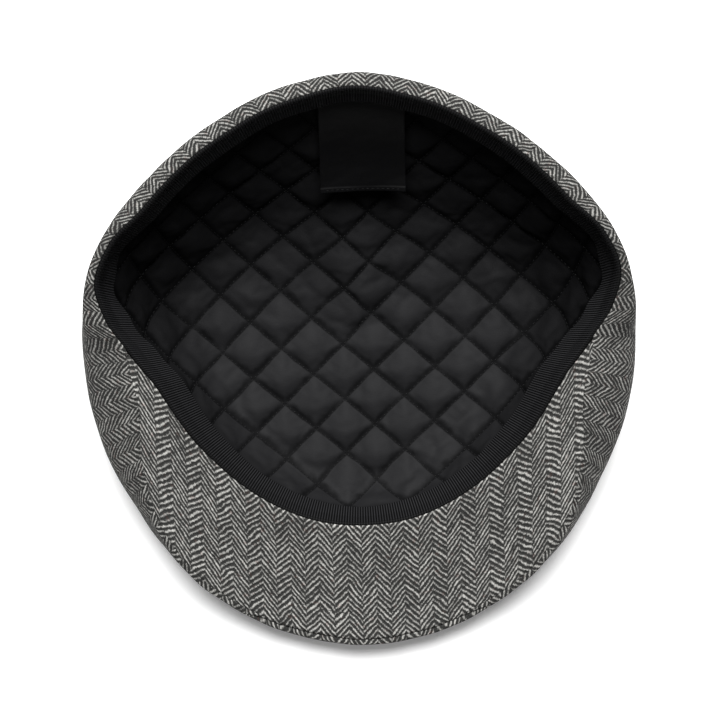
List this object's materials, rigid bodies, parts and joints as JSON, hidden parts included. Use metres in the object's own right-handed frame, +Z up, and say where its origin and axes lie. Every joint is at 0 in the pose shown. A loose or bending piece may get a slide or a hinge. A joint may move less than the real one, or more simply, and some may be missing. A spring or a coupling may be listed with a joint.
{
  "type": "flat cap",
  "caption": "Herringbone tweed flat cap with a short stiff peak, quilted satin lining and ribbon sweatband, resting upside down on its crown.",
  "frame": {"origin": "centre of the bounding box in plan, at the surface that the crown rests on", "axes": "+Z up out of the head opening, -Y towards the peak, +Y towards the back, X across"},
  "size_m": [0.2096, 0.2164, 0.0925],
  "materials": {
    "tweed": "matte herringbone wool tweed, black and pale grey",
    "quilted_satin": "satin, quilted in diamonds",
    "grosgrain": "ribbed matte ribbon",
    "label_satin": "smooth satin"
  },
  "bodies": {
    "root": {"crown_top": "tweed", "crown_side_left": "tweed", "crown_side_right": "tweed", "peak": "tweed", "lining": "quilted_satin", "sweatband": "grosgrain", "label": "label_satin"}
  },
  "joints": []
}
